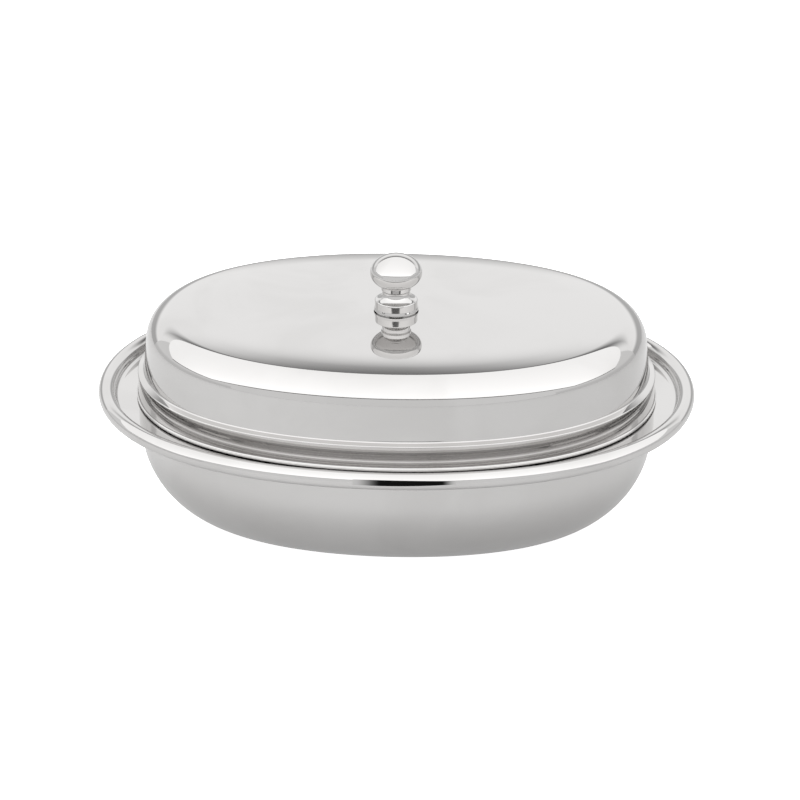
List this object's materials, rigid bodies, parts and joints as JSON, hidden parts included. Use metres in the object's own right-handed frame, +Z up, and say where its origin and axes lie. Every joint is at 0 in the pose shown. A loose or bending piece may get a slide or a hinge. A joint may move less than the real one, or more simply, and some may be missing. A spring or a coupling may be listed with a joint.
{
  "type": "butter dish",
  "caption": "Oval steel butter dish with a rolled rim, an inner ledge and a lift-off domed lid with a turned knob.",
  "frame": {"origin": "under the middle of the dish, on the surface it stands on", "axes": "+X along the oval's length, +Y across it, +Z up along the way the lid lifts"},
  "size_m": [0.19, 0.145, 0.0889],
  "materials": {
    "polished_steel": "mirror-polished stainless steel",
    "plain_steel": "bright, slightly dull stainless steel"
  },
  "bodies": {
    "dish_body": {"dish": "polished_steel"},
    "lid_body": {"lid": "polished_steel", "knob": "polished_steel", "washer": "plain_steel", "knob_screw": "plain_steel"}
  },
  "joints": [
    {"name": "lid_lift", "type": "slide", "parent": "dish_body", "child": "lid_body", "axis": [0, 0, 1], "range_m": [0, 0.08]}
  ]
}
